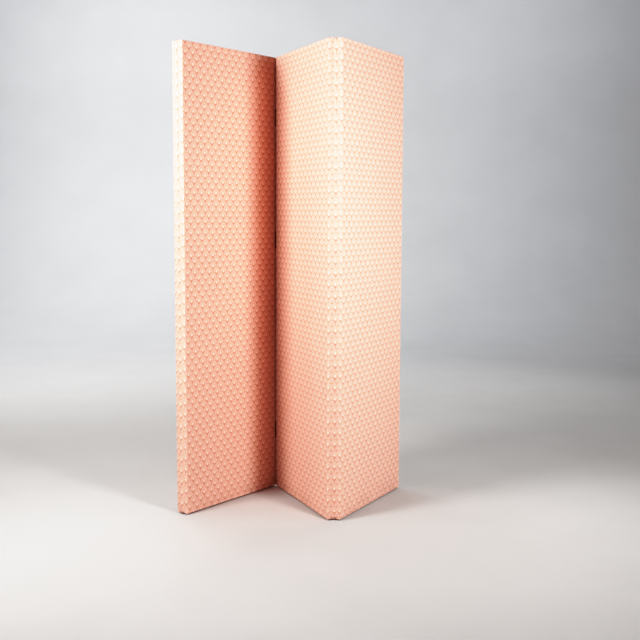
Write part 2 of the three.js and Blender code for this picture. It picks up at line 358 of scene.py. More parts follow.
def metal_material(name, base, dark, rough, metallic):
    m, k, p = material(name)
    coords = k.node("ShaderNodeTexCoord").outputs["Object"]
    spots = k.noise(coords, 240.0, 4.0, 0.65)
    streak = k.noise(k.scaled(coords, (1.0, 1.0, 0.1)), 700.0, 2.0)
    c = k.mix(k.step(spots, 0.4, 0.7), base, dark)
    k.put(p.inputs["Base Color"], c)
    p.inputs["Metallic"].default_value = metallic
    k.put(p.inputs["Roughness"], k.m("ADD", rough, k.m("MULTIPLY", k.m("ADD", spots, streak), 0.12)))
    k.put(p.inputs["Normal"], k.bump(streak, 0.15, 0.0001))
    return m


thread = thread_material()
pine = pine_material()
hardboard = board_material()
hinge_steel = metal_material("bronzed_steel", srgb(112, 84, 62), srgb(76, 56, 42), 0.38, 0.9)
screw_metal = metal_material("screw_steel", srgb(150, 140, 126), srgb(96, 84, 70), 0.3, 1.0)
nickel = metal_material("nickel_plate", srgb(206, 203, 196), srgb(168, 160, 148), 0.2, 0.9)


# ---------------------------------------------------------------- mesh helpers
def make_mesh(name, verts, faces, materials, face_material=None, uv=None, attributes=None, smooth=True, sharp_angle=None):
    """A mesh object from points in metres. uv is one pair per face corner, in metres of cloth."""
    me = bpy.data.meshes.new(name)
    me.from_pydata([tuple(v) for v in verts], [], [tuple(int(i) for i in f) for f in faces])
    for mt in materials:
        me.materials.append(mt)
    if face_material is not None:
        me.polygons.foreach_set("material_index", np.asarray(face_material, np.int32))
    me.polygons.foreach_set("use_smooth", np.full(len(me.polygons), smooth, bool))
    if uv is not None:
        layer = me.uv_layers.new(name="cloth")
        layer.data.foreach_set("uv", np.asarray(uv, np.float32).ravel())
    for key, values in (attributes or {}).items():
        at = me.attributes.new(key, "FLOAT", "POINT")
        at.data.foreach_set("value", np.asarray(values, np.float32))
    me.validate()
    me.update()
    if sharp_angle is not None:
        me.set_sharp_from_angle(angle=math.radians(sharp_angle))
    o = bpy.data.objects.new(name, me)
    bpy.context.scene.collection.objects.link(o)
    return o


def lattice_noise(x, y, cell, seed):
    """Smooth value noise in -1..1 on a plane, the same each run."""
    rng = np.random.default_rng(seed)
    table = rng.uniform(-1, 1, (64, 64))
    gx, gy = x / cell, y / cell
    ix, iy = np.floor(gx).astype(int), np.floor(gy).astype(int)
    fx, fy = gx - ix, gy - iy
    fx, fy = fx * fx * (3 - 2 * fx), fy * fy * (3 - 2 * fy)
    t = lambda i, j: table[i % 64, j % 64]
    return ((t(ix, iy) * (1 - fx) + t(ix + 1, iy) * fx) * (1 - fy)
            + (t(ix, iy + 1) * (1 - fx) + t(ix + 1, iy + 1) * fx) * fy)


def smooth(x, lo, hi):
    s = np.clip((np.asarray(x, float) - lo) / (hi - lo), 0, 1)
    return s * s * (3 - 2 * s)


EDGE = [0.0, 0.4, 0.8, 1.15, 1.5, 2.2, 3.0]
LIP = [3.2, 4.3, 4.8, 5.1, 5.4, 5.8, 6.6, 9.0]


def spread(a, b, step):
    n = max(1, int(round((b - a) / step)))
    return [a + (b - a) * i / n for i in range(1, n)]


def arc_length(d, r):
    return r * (math.pi / 4 - math.atan((r - d) / r)) if d < r else r * math.pi / 4 + (d - r)


def tray(lx, lz, depth, q_lines, x_lines, z_lines, r_closed, r_open, lip, keep):
    """An open-backed cloth tray, x from 0 to lx, z from 0 to lz, q from the closed face to depth.
    Returns points on the sharp box, quads or triangles, each face's region, and each corner's cloth coordinates."""
    index, points = {}, []
    nx, nq, nz = len(x_lines), len(q_lines), len(z_lines)

    def vert(i, j, k):
        key = (i * nq + j) * nz + k
        got = index.get(key)
        if got is None:
            got = index[key] = len(points)
            points.append((x_lines[i], q_lines[j], z_lines[k]))
        return got

    uc = r_closed * (1 - math.pi / 4)
    half = depth / 2
    wall = arc_length(half, r_closed) + arc_length(depth - half, r_open)

    def across(values, total):
        """Cloth coordinates across the closed face."""
        return [uc + arc_length(d, r_closed) if d <= total / 2 else total - uc - arc_length(total - d, r_closed) for d in values]

    U, V = across(x_lines, lx), across(z_lines, lz)
    # cloth distance from the closed face's rounded edge, down a wall
    S = [arc_length(q, r_closed) if q <= half else wall - arc_length(depth - q, r_open) for q in q_lines]
    near_x = [arc_length(min(x, lx - x), r_closed) for x in x_lines]
    turn_x = [(uc - wall - arc_length(x, r_open)) if x < lx / 2 else (lx - uc + wall + arc_length(lx - x, r_open)) for x in x_lines]
    turn_z = [(uc - wall - arc_length(z, r_open)) if z < lz / 2 else (lz - uc + wall + arc_length(lz - z, r_open)) for z in z_lines]
    xm = [(p + q) / 2 for p, q in zip(x_lines, x_lines[1:])]
    qm = [(p + q) / 2 for p, q in zip(q_lines, q_lines[1:])]
    zm = [(p + q) / 2 for p, q in zip(z_lines, z_lines[1:])]
    faces, corner_uv, region = [], [], []

    def add(pts, uvs, name):
        faces.append(pts)
        corner_uv.extend(uvs)
        region.append(name)

    # closed face
    for i in range(nx - 1):
        u0, u1 = U[i], U[i + 1]
        for k in range(nz - 1):
            if keep(xm[i], 0.0, zm[k]):
                add((vert(i, 0, k), vert(i + 1, 0, k), vert(i + 1, 0, k + 1), vert(i, 0, k + 1)),
                    ((u0, V[k]), (u1, V[k]), (u1, V[k + 1]), (u0, V[k + 1])), "face")
    # end walls
    for j in range(nq - 1):
        s0, s1 = S[j], S[j + 1]
        for k in range(nz - 1):
            v0, v1 = V[k], V[k + 1]
            if keep(0.0, qm[j], zm[k]):
                add((vert(0, j + 1, k), vert(0, j, k), vert(0, j, k + 1), vert(0, j + 1, k + 1)),
                    ((uc - s1, v0), (uc - s0, v0), (uc - s0, v1), (uc - s1, v1)), "end")
            if keep(lx, qm[j], zm[k]):
                e = lx - uc
                add((vert(nx - 1, j, k), vert(nx - 1, j + 1, k), vert(nx - 1, j + 1, k + 1), vert(nx - 1, j, k + 1)),
                    ((e + s0, v0), (e + s1, v0), (e + s1, v1), (e + s0, v1)), "end")
    # top and bottom walls, with a folded corner: the end's cloth lies under the flap
    for top in (True, False):
        k, sign, edge = (nz - 1, 1.0, lz - uc) if top else (0, -1.0, uc)
        for j in range(nq - 1):
            for i in range(nx - 1):
                dx = min(xm[i], lx - xm[i])
                left = xm[i] < lx / 2
                flap = lambda i, j: (U[i], edge + sign * S[j])
                tuck = lambda i, j: ((uc - S[j]) if left else (lx - uc + S[j]), edge + sign * near_x[i])
                quad = ((i, j), (i + 1, j), (i + 1, j + 1), (i, j + 1))
                if abs(dx - qm[j]) > 1e-6 or dx > depth:
                    order = quad if top else quad[::-1]
                    f, name = (tuck, "tuck") if dx < qm[j] else (flap, "flap")
                    add([vert(a, b, k) for a, b in order], [f(a, b) for a, b in order], name)
                    continue
                # the cell is crossed by the fold, which runs inwards from the outer front corner
                if left:
                    halves = (((i, j), (i + 1, j), (i + 1, j + 1)), ((i, j), (i + 1, j + 1), (i, j + 1)))
                else:
                    halves = (((i, j), (i + 1, j), (i, j + 1)), ((i + 1, j), (i + 1, j + 1), (i, j + 1)))
                for tri, f, name in ((halves[0], flap, "flap"), (halves[1], tuck, "tuck")):
                    tri = tri if top else tri[::-1]
                    add([vert(a, b, k) for a, b in tri], [f(a, b) for a, b in tri], name)
    # turned edge on the open side
    for i in range(nx - 1):
        dx = min(xm[i], lx - xm[i])
        for k in range(nz - 1):
            dz = min(zm[k], lz - zm[k])
            if min(dx, dz) > lip or not keep(xm[i], depth, zm[k]):
                continue
            pts = ((i + 1, k), (i, k), (i, k + 1), (i + 1, k + 1))
            if dx <= dz:
                uvs = [(turn_x[a], V[b]) for a, b in pts]
            else:
                uvs = [(U[a], turn_z[b]) for a, b in pts]
            add([vert(a, nq - 1, b) for a, b in pts], uvs, "lip")
    return np.array(points, float), faces, region, corner_uv


def rounded(points, lx, lz, depth, r_closed, r_open):
    """Box points moved on to the rounded box, and their outward directions."""
    p = points.copy()
    q = p[:, 1]
    t = smooth(q, r_closed, depth - r_open)
    r = r_closed + (r_open - r_closed) * t
    lo = np.stack([r, r, r], 1)
    hi = np.stack([lx - r, depth - r, lz - r], 1)
    c = np.clip(p, lo, np.maximum(lo, hi))
    out = p - c
    length = np.linalg.norm(out, axis=1, keepdims=True)
    n = out / length
    return c + n * r[:, None], n


def shell(points, normals, thick, faces, uvs):
    """Closes an open sheet into a thin solid: the outer faces, the reverse, and the cut edges between them."""
    count = len(points)
    all_points = np.concatenate([points, points - normals * thick[:, None]])
    size = np.array([len(f) for f in faces])
    start = np.concatenate([[0], np.cumsum(size)[:-1]])
    loops = np.concatenate([np.asarray(f) for f in faces])
    uvs = np.asarray(uvs, float)
    ahead = np.arange(len(loops)) + 1
    ahead[start + size - 1] = start
    key, back = loops * count + loops[ahead], loops[ahead] * count + loops
    rim = np.flatnonzero(~np.isin(key, back))
    # the reverse has its corners the other way round
    which = np.repeat(np.arange(len(size)), size)
    mirror = 2 * start[which] + size[which] - 1 - np.arange(len(loops))
    a, b = loops[rim], loops[ahead[rim]]
    edge = np.stack([b, a, a + count, b + count], 1)
    edge_uv = np.stack([uvs[ahead[rim]], uvs[rim], uvs[rim], uvs[ahead[rim]]], 1).reshape(-1, 2)
    inner = loops[mirror] + count
    out = [list(f) for f in faces] + [inner[s:s + n].tolist() for s, n in zip(start, size)] + edge.tolist()
    mats = np.concatenate([np.zeros(len(size), int), np.ones(len(size), int), np.zeros(len(edge), int)])
    return all_points, out, mats, np.concatenate([uvs, uvs[mirror], edge_uv])


def notch_test(panel):
    """False inside the pockets cut for this panel's hinge knuckles. Coordinates are the tray's own."""
    zones = []
    for end, face, _, _ in HINGED[panel]:
        for h in HINGE_HEIGHTS:
            zones.append((end, face, h - FOOT))

    def keep(x, q, z):
        for end, face, h in zones:
            if abs(z - h) > NOTCH_Z:
                continue
            du = x if end == "left" else WIDTH - x
            dv = q if face == "front" else THICK - q
            if du < NOTCH_U and dv < NOTCH_V:
                return False
        return True

    return keep


def front_cloth(panel):
    r_front, r_back = 3.0, 1.5
    lz = HEIGHT - FOOT
    q_lines = sorted(set(EDGE + LIP + [12.0, 15.0, 18.0, 21.4] + [round(THICK - e, 4) for e in EDGE]))
    x_lines = sorted(set(q_lines + [round(WIDTH - q, 4) for q in q_lines] + spread(THICK, WIDTH - THICK, 16.0)))
    ends = [round(v, 4) for v in EDGE + LIP]
    z_fix = set(ends + [round(lz - v, 4) for v in ends])
    for _, _, _, _ in HINGED[panel]:
        for h in HINGE_HEIGHTS:
            z_fix |= {round(h - FOOT - NOTCH_Z, 4), round(h - FOOT + NOTCH_Z, 4)}
    z_fix = sorted(z_fix)
    z_lines = []
    for a, b in zip(z_fix, z_fix[1:]):
        z_lines += [a] + spread(a, b, 16.0)
    z_lines.append(z_fix[-1])
    box, faces, region, uvs = tray(WIDTH, lz, THICK, q_lines, x_lines, z_lines, r_front, r_back, 9.0, notch_test(panel))
    pos, nor = rounded(box, WIDTH, lz, THICK, r_front, r_back)

    x, q, z = box[:, 0], box[:, 1], box[:, 2]
    edge_x, edge_z = np.minimum(x, WIDTH - x), np.minimum(z, lz - z)
    seed = 11 + PANELS.index(panel) * 7
    # the face is flat, with the slight slackness of cloth over a board
    slack = 0.5 + 0.5 * lattice_noise(x + 40, z, 95.0, seed)
    slack2 = 0.5 + 0.5 * lattice_noise(x, z + 70, 38.0, seed + 1)
    inward = 0.22 * slack + 0.08 * slack2
    # pulls towards the fixings behind each edge, about every 38 mm
    run = np.where(edge_x <= edge_z, z, x)
    wobble = lattice_noise(run, np.zeros_like(run), 26.0, seed + 2)
    pull = 0.5 + 0.5 * np.cos(2 * np.pi * (run / 38.0 + 0.25 * wobble))
    near = smooth(q, 4.0, THICK - 1.0)
    inward += 0.28 * pull * near * (q < THICK - 0.01)
    # the end's cloth is folded in under the top and bottom flaps
    on_wall = (edge_z < 1e-6) & (q > 1e-6) & (q < THICK - 1e-6)
    under = on_wall & (edge_x < q - 1e-6) & (edge_x < THICK)
    inward += np.where(under, 0.42, 0.0)
    # the turned edge dives under the back cover
    d = np.minimum(edge_x, edge_z)
    lip = q > THICK - 1e-6
    dive = 0.10 + 0.2 * smooth(d, 1.2, 4.2) + 0.80 * smooth(d, 4.2, 5.9)
    inward = np.where(lip & (d > 0.5), dive, inward)
    thick = np.where(lip, 1.05 - 0.67 * smooth(d, 2.5, 5.8), 1.05)
    pos = pos - nor * inward[:, None]
    # slight waviness of the long edges
    sway = lattice_noise(z, np.full_like(z, 3.0), 210.0, seed + 4) * 0.18
    pos[:, 0] += sway * (1 - smooth(edge_x, 0, 60)) * np.where(x < WIDTH / 2, 1, -1) * 0.5 + 0.09 * (1 - smooth(edge_x, 0, 60)) * np.where(x < WIDTH / 2, 1, -1)

    verts, out, mats, uv = shell(pos, nor, thick, faces, uvs)
    du, dv = PHASE[panel]
    uv[:, 0] += du
    uv[:, 1] += FOOT + dv
    corner = np.minimum.reduce([
        np.hypot(edge_x, q), np.hypot(edge_z, q), np.hypot(edge_x, edge_z),
        np.hypot(edge_x, THICK - q), np.hypot(edge_z, THICK - q)])
    wear = 1 - smooth(corner, 1.0, 7.0)
    foot = 1 - smooth(z, 0.0, 70.0)
    verts[:, 2] += FOOT
    o = make_mesh(panel + "_front_cloth", to_frame(verts, panel), out, [cloth, cloth_back], mats, uv / 1000.0,
                  {"wear": np.tile(wear, 2), "foot": np.tile(foot, 2)})
    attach(o, panel)
    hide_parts(panel + "_cover_front")
    return o


BACK_INSET = 5.3
STITCH = 11.0


def back_cloth(panel):
    depth, radius, hem = 1.0, 0.42, 12.0
    lx, lz = WIDTH - 2 * BACK_INSET, HEIGHT - FOOT - 2 * BACK_INSET
    e = [0.0, 0.12, 0.26, 0.42]
    q_lines = sorted(set([round(v, 4) for v in e] + [0.5] + [round(depth - v, 4) for v in e]))
    near = e + [0.5, 0.58, 0.74, 0.88, 1.0, 1.6, 2.6, 4.5, 7.5, hem]
    side = [round(v, 4) for v in near]
    x_lines = sorted(set(side + [round(lx - v, 4) for v in side] + spread(hem, lx - hem, 16.0)))
    z_lines = sorted(set(side + [round(lz - v, 4) for v in side] + spread(hem, lz - hem, STITCH / 2)))
    box, faces, region, uvs = tray(lx, lz, depth, q_lines, x_lines, z_lines, radius, radius, hem, lambda *a: True)
    pos, nor = rounded(box, lx, lz, depth, radius, radius)
    x, q, z = box[:, 0], box[:, 1], box[:, 2]
    ex, ez = np.minimum(x, lx - x), np.minimum(z, lz - z)
    seed = 83 + PANELS.index(panel) * 5
    face = q < 0.02
    d = np.minimum(ex, ez)
    run = np.where(ex <= ez, z, x)
    slack = 0.5 + 0.5 * lattice_noise(x, z, 90.0, seed)
    inward = 0.10 * slack * smooth(d, 2, 30)
    # the cloth is one layer thinner inside its hem, and dips at each stitch
    inward += 0.10 * smooth(d, hem - 1.5, hem + 3.0)
    tug = np.exp(-(((run / STITCH + 0.5) % 1 - 0.5) * STITCH / 1.6) ** 2)
    inward += 0.10 * tug * (1 - smooth(d, 0.8, 5.0))
    pos = pos - nor * np.where(face, inward, 0.0)[:, None]
    verts, out, mats, uv = shell(pos, nor, np.full(len(pos), 0.36), faces, uvs)
    du, dv = PHASE[panel]
    uv[:, 0] = uv[:, 0] + BACK_INSET + du + 6.0
    uv[:, 1] = uv[:, 1] + BACK_INSET + FOOT + dv + 9.0
    local = np.empty_like(verts)
    local[:, 0] = WIDTH - BACK_INSET - verts[:, 0]
    local[:, 1] = THICK - 0.05 - verts[:, 1]
    local[:, 2] = FOOT + BACK_INSET + verts[:, 2]
    wear = (1 - smooth(d, 0.0, 3.0)) * 0.6
    foot = 1 - smooth(z, 0.0, 70.0)
    o = make_mesh(panel + "_back_cloth", to_frame(local, panel), out, [cloth, cloth_back], mats, uv / 1000.0,
                  {"wear": np.tile(wear, 2), "foot": np.tile(foot, 2)})
    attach(o, panel)
    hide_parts(panel + "_cover_back")
    return o


# ---------------------------------------------------------------- slip stitches
def stitches(panel):
    """Small slanting stitches that join the back cover's fold to the turned edge."""
    lx0, lx1 = BACK_INSET, WIDTH - BACK_INSET
    z0, z1 = FOOT + BACK_INSET, HEIGHT - BACK_INSET
    spots = []
    n = int((z1 - z0 - 16) / STITCH)
    for i in range(n):
        z = z0 + 8 + (i + 0.5) * STITCH
        spots += [(lx0, z, (-1, 0), (0, 1)), (lx1, z, (1, 0), (0, 1))]
    n = int((lx1 - lx0 - 16) / STITCH)
    for i in range(n):
        x = lx0 + 8 + (i + 0.5) * STITCH
        spots += [(x, z0, (0, -1), (1, 0)), (x, z1, (0, 1), (1, 0))]
    keep = notch_test(panel)
    rng = np.random.default_rng(500 + PANELS.index(panel))
    rings, sides, radius = 6, 6, 0.2
    verts, faces = [], []
    for x, z, o, a in spots:
        jitter = rng.uniform(-0.5, 0.5)
        cx, cz = x + a[0] * jitter, z + a[1] * jitter
        if not keep(cx + o[0] * 1.5, THICK, cz - FOOT - 2.0) or not keep(cx + o[0] * 1.5, THICK, cz - FOOT + 2.0):
            continue
        # from inside the back cover's fold, over the groove, into the turned edge
        path = []
        lean = 0.9 + rng.uniform(-0.15, 0.15)
        for t, across, height in ((0.0, -1.15, -0.30), (0.2, -0.80, 0.06), (0.45, -0.1, 0.10),
                                  (0.7, 0.55, -0.12), (0.88, 0.95, -0.34), (1.0, 1.15, -0.60)):
            s = (t - 0.5) * 2 * lean
            path.append((cx + o[0] * across + a[0] * s, THICK + height, cz + o[1] * across + a[1] * s))
        path = np.array(path)
        base = len(verts)
        for j in range(rings):
            d = path[min(j + 1, rings - 1)] - path[max(j - 1, 0)]
            d /= np.linalg.norm(d)
            up = np.array([0, 1.0, 0]) - d * d[1]
            up /= np.linalg.norm(up)
            w = np.cross(d, up)
            r = radius * (0.75 if j in (0, rings - 1) else 1.0)
            for s in range(sides):
                g = 2 * math.pi * s / sides
                verts.append(path[j] + r * (math.cos(g) * up + math.sin(g) * w))
        for j in range(rings - 1):
            for s in range(sides):
                s1 = (s + 1) % sides
                faces.append([base + j * sides + s, base + j * sides + s1, base + (j + 1) * sides + s1, base + (j + 1) * sides + s])
        faces.append([base + s for s in range(sides)][::-1])
        faces.append([base + (rings - 1) * sides + s for s in range(sides)])
    ob = make_mesh(panel + "_slip_stitches", to_frame(verts, panel), faces, [thread])
    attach(ob, panel)
    return ob


# ---------------------------------------------------------------- hinges
def lathe(profile, segments):
    """A closed solid turned round +z from (radius, height) points that start and end on the axis."""
    verts, faces = [], []
    rows = []
    for r, h in profile:
        if r < 1e-6:
            rows.append([len(verts)])
            verts.append((0.0, 0.0, h))
        else:
            rows.append(list(range(len(verts), len(verts) + segments)))
            verts += [(r * math.cos(2 * math.pi * s / segments), r * math.sin(2 * math.pi * s / segments), h) for s in range(segments)]
    for a, b in zip(rows, rows[1:]):
        for s in range(segments):
            t = (s + 1) % segments
            if len(a) == 1:
                faces.append([a[0], b[t], b[s]])
            elif len(b) == 1:
                faces.append([a[s], a[t], b[0]])
            else:
                faces.append([a[s], a[t], b[t], b[s]])
    return np.array(verts), faces


def leaf_section():
    """The hinge strip's section in corner coordinates: its plate, and its knuckle curl."""
    cx = cy = -REVEAL
    outer, inner = 2.5, 1.3
    plate = [(1.5, 2.6), (2.7, 2.6), (2.7, 17.6), (1.5, 17.6)]
    out = [(2.7, 1.7), (2.66, 1.05), (2.5, 0.45), (2.2, -0.05)]
    angles = [math.radians(-4.0 - 301.0 * i / 26) for i in range(27)]
    out += [(cx + outer * math.cos(g), cy + outer * math.sin(g)) for g in angles]
    back = [(cx + inner * math.cos(g), cy + inner * math.sin(g)) for g in angles[::-1]]
    back += [(1.0, 0.0), (1.3, 0.75), (1.47, 1.6)]
    curl = [(2.7, 2.6)] + out + back + [(1.5, 2.6)]
    return plate, curl


def prism(points, h0, h1, verts, faces):
    """A closed prism over a polygon."""
    area = sum(points[i][0] * points[(i + 1) % len(points)][1] - points[(i + 1) % len(points)][0] * points[i][1] for i in range(len(points)))
    pts = list(points) if area > 0 else list(points)[::-1]
    base, n = len(verts), len(pts)
    verts += [(x, y, h0) for x, y in pts] + [(x, y, h1) for x, y in pts]
    for i in range(n):
        j = (i + 1) % n
        faces.append([base + i, base + j, base + n + j, base + n + i])
    from mathutils.geometry import tessellate_polygon
    for t in tessellate_polygon([[Vector((x, y, 0.0)) for x, y in pts]]):
        a, b, c = (pts[i] for i in t)
        s = (b[0] - a[0]) * (c[1] - a[1]) - (b[1] - a[1]) * (c[0] - a[0])
        t = tuple(t) if s > 0 else tuple(t)[::-1]
        faces.append([base + n + i for i in t])
        faces.append([base + i for i in t[::-1]])


def hinge_leaf(panel, end, face, fold, pin, level, height):
    at = lambda u, v: (u if end == "left" else WIDTH - u, v if face == "front" else THICK - v)
    mirrored = (end == "right") != (face == "back")
    z0, z1 = height - HINGE_LENGTH / 2, height + HINGE_LENGTH / 2
    step = HINGE_LENGTH / 3
    plate, curl = leaf_section()
    verts, faces = [], []
    # the plate, its corners eased
    c = 1.6
    u0, u1 = 1.5, 2.7
    outline = [(2.6, z0), (17.6 - c, z0), (17.6 - 0.3 * c, z0 + 0.3 * c), (17.6, z0 + c),
               (17.6, z1 - c), (17.6 - 0.3 * c, z1 - 0.3 * c), (17.6 - c, z1), (2.6, z1)]
    base, n = 0, len(outline)
    verts += [(u0, v, z) for v, z in outline] + [(u1, v, z) for v, z in outline]
    for i in range(n):
        j = (i + 1) % n
        faces.append([i, n + i, n + j, j])
    faces.append(list(range(n)))
    faces.append([n + i for i in range(n)][::-1])
    mats = [0] * len(faces)
    for i in range(3):
        if (i % 2 == 0) != pin:
            continue
        a = z0 + i * step + (0.0 if i == 0 else 0.15)
        b = z0 + (i + 1) * step - (0.0 if i == 2 else 0.15)
        prism(curl, a, b, verts, faces)
    mats += [0] * (len(faces) - len(mats))

    def add(v, f, mat):
        base = len(verts)
        verts.extend([tuple(p) for p in v])
        faces.extend([[base + i for i in g] for g in f])
        mats.extend([mat] * len(f))

    if pin:
        top, r = z1 + 0.8, 1.12
        profile = [(0, z0 - 0.8), (0.9, z0 - 0.75), (1.45, z0 - 0.5), (1.6, z0 - 0.1), (r, z0 - 0.05), (r, z0 + 10), (r, z1 - 10),
                   (r, z1 + 0.05), (1.6, z1 + 0.1), (1.45, z1 + 0.5), (0.9, z1 + 0.75), (0, z1 + 0.8)]
        v, f = lathe(profile, 24)
        v[:, 0] += -REVEAL
        v[:, 1] += -REVEAL
        add(v, f, 0)
    for dz in (-22.0, 0.0, 22.0):
        # countersunk screw, driven inwards from the plate
        profile = [(0, 0.35), (0.55, 0.30), (0.75, 0.04), (2.35, 0.0), (2.7, 0.15), (1.55, 1.5), (1.3, 2.4)]
        for i in range(8):
            h = 2.6 + i * 1.5
            profile += [(1.18, h), (1.5, h + 0.45), (1.18, h + 0.9)]
        profile += [(0.9, 14.9), (0, 16.2)]
        v, f = lathe(profile, 16)
        w = np.empty_like(v)
        w[:, 0] = 1.5 + v[:, 2]
        w[:, 1] = 10.0 + v[:, 0]
        w[:, 2] = height + dz + v[:, 1]
        add(w, f, 1)
    verts = np.array(verts, float)
    local = np.array([(*at(u, v), z) for u, v, z in verts])
    if mirrored:
        faces = [f[::-1] for f in faces]
    name = f"{fold}_hinge_{level}_{panel}"
    o = make_mesh(name, to_frame(local, panel), faces, [hinge_steel, screw_metal], mats, sharp_angle=35)
    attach(o, panel)
    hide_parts(f"{fold}_leaf_{level}_{panel}")
    return o


# ---------------------------------------------------------------- crease strips
FOLDS = {  # the two panels with the end of each, the face that closes, the pivot, and how deep the strip's glued edge starts
    "fold12": (("panel1", "right"), ("panel2", "left"), "back", (-399.77911, -167.41775), 3.7, 3.5),
    "fold23": (("panel2", "right"), ("panel3", "left"), "front", (-74.19936, 214.50490), 3.7, 3.9),
    "fold34": (("panel3", "right"), ("panel4", "left"), "back", (152.44535, -233.26653), 3.7, 3.8),
}


def crease_strip(fold):
    """A narrow strip of the cloth over the knuckles on the ends' side, glued to both ends, that shuts the gap of the fold."""
    one, two, face, pivot, depth, reach = FOLDS[fold]
    pivot = np.array(pivot)
    edges = []
    for panel, end in (one, two):
        def at(out, v):
            x = -out if end == "left" else WIDTH + out
            return to_frame([(x, v if face == "front" else THICK - v, 0.0)], panel)[0][:2] * 1000.0
        edges.append([at(-0.05, depth + 5.2), at(0.12, depth + 4.6), at(0.16, depth + 2.4), at(0.2, depth)])
    a, b = edges
    polar_of = lambda p: (math.hypot(*(p - pivot)), math.atan2(p[1] - pivot[1], p[0] - pivot[0]))
    (ra, ga), (rb, gb) = polar_of(a[-1]), polar_of(b[-1])
    turn = (gb - ga + math.pi) % (2 * math.pi) - math.pi
    along = (a[-1] + b[-1]) / 2 - pivot
    if fold == "fold12":        # the ends lie in one plane: go round by the open side
        heading = math.radians(HEADING[two[0]])
        open_side = np.array([-math.cos(heading), -math.sin(heading)])
        test = np.array([math.cos(ga + turn / 2), math.sin(ga + turn / 2)])
        if test @ open_side < 0:
            turn -= math.copysign(2 * math.pi, turn)
    path = list(a)
    steps = 16
    for i in range(1, steps):
        t = i / steps
        bulge = math.sin(math.pi * t) ** 0.7
        r = (ra * (1 - t) + rb * t) * (1 - bulge) + reach * bulge
        g = ga + turn * t
        path.append(pivot + r * np.array([math.cos(g), math.sin(g)]))
    path += b[::-1]
    path = np.array(path)
    z_lines = np.linspace(FOOT + 2.5, HEIGHT - 2.5, 211)
    n, m = len(path), len(z_lines)
    tangent = np.gradient(path, axis=0)
    normal = np.stack([tangent[:, 1], -tangent[:, 0]], 1) / np.linalg.norm(tangent, axis=1)[:, None]
    if normal[n // 2] @ (path[n // 2] - pivot) < 0:
        normal = -normal
    run = np.concatenate([[0], np.cumsum(np.linalg.norm(np.diff(path, axis=0), axis=1))])
    loose = np.sin(np.pi * np.linspace(0, 1, n)) ** 2
    verts = []
    for z in z_lines:
        over = max(smooth(HINGE_LENGTH / 2 + 9 - abs(z - h), 0.0, 12.0) for h in HINGE_HEIGHTS)
        slack = 0.18 * lattice_noise(np.full(n, z), run * 3.0, 34.0, 911) * loose + 0.22 * over * loose
        for side in (0.14, -0.14):
            p = path + normal * (side + slack)[:, None]
            verts += [(q[0] / 1000.0, q[1] / 1000.0, z / 1000.0) for q in p]
    at = lambda i, s, k: (k * 2 + s) * n + i
    faces, uvs = [], []
    du, dv = PHASE[one[0]]

    def add(quad, pairs):
        faces.append(quad)
        uvs.extend([((run[i] + 6.0) / 1000.0, (z_lines[k] + dv) / 1000.0) for i, k in pairs])

    for k in range(m - 1):
        for i in range(n - 1):
            add([at(i, 0, k), at(i + 1, 0, k), at(i + 1, 0, k + 1), at(i, 0, k + 1)], [(i, k), (i + 1, k), (i + 1, k + 1), (i, k + 1)])
            add([at(i, 1, k), at(i, 1, k + 1), at(i + 1, 1, k + 1), at(i + 1, 1, k)], [(i, k), (i, k + 1), (i + 1, k + 1), (i + 1, k)])
        for i, flip in ((0, False), (n - 1, True)):
            q = [at(i, 0, k), at(i, 0, k + 1), at(i, 1, k + 1), at(i, 1, k)]
            w = [(i, k), (i, k + 1), (i, k + 1), (i, k)]
            add(q[::-1] if flip else q, w[::-1] if flip else w)
    for k, flip in ((0, False), (m - 1, True)):
        for i in range(n - 1):
            q = [at(i, 0, k), at(i, 1, k), at(i + 1, 1, k), at(i + 1, 0, k)]
            w = [(i, k), (i, k), (i + 1, k), (i + 1, k)]
            add(q[::-1] if flip else q, w[::-1] if flip else w)
    # every face looks outwards, whichever way the strip turns
    first = faces[0]
    p = np.array([verts[i] for i in first])
    facing = np.cross(p[1] - p[0], p[2] - p[1])[:2]
    if facing @ normal[0] < 0:
        flipped, k = [], 0
        for f in faces:
            flipped.extend(uvs[k:k + 4][::-1])
            k += 4
        faces, uvs = [f[::-1] for f in faces], flipped
    o = make_mesh(fold + "_crease_strip", verts, faces, [cloth], None, uvs,
                  {"wear": np.zeros(len(verts)), "foot": np.zeros(len(verts))})
    parent, child = ("panel2", "panel1") if fold == "fold12" else (one[0], two[0])
    tip = {one[0]: a[-1], two[0]: b[-1]}
    start, end = tip[parent], tip[child]
    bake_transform(o)
    return o


# ---------------------------------------------------------------- glides
def glide(panel, side):
    r, top = 8.5, FOOT - 0.3
    profile = [(0, 0.0), (3.2, 0.0), (5.6, 0.06), (6.9, 0.32), (7.8, 0.86), (8.3, 1.5), (r, 2.1), (8.42, 2.5), (8.1, 2.8),
               (7.3, 3.05), (6.2, top - 0.2), (5.6, top), (1.3, top), (1.0, top + 0.3), (1.0, top + 11.5), (0.72, top + 13.0), (0, top + 15.0)]
    v, f = lathe(profile, 40)
    x = GLIDE_INSET if side == "left" else WIDTH - GLIDE_INSET
    v[:, 0] += x
    v[:, 1] += THICK / 2
    o = make_mesh(f"{panel}_glide_cap_{side}", to_frame(v, panel), f, [nickel], sharp_angle=40)
    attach(o, panel)
    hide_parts(f"{panel}_glide_{side}")
    return o


# ---------------------------------------------------------------- the object
for panel in PANELS:
    front_cloth(panel)
    back_cloth(panel)
    stitches(panel)
    for side in ("left", "right"):
        glide(panel, side)
    for end, face, fold, pin in HINGED[panel]:
        for level, height in zip(("low", "mid", "high"), HINGE_HEIGHTS):
            hinge_leaf(panel, end, face, fold, pin, level, height)

for fold in FOLDS:
    crease_strip(fold)

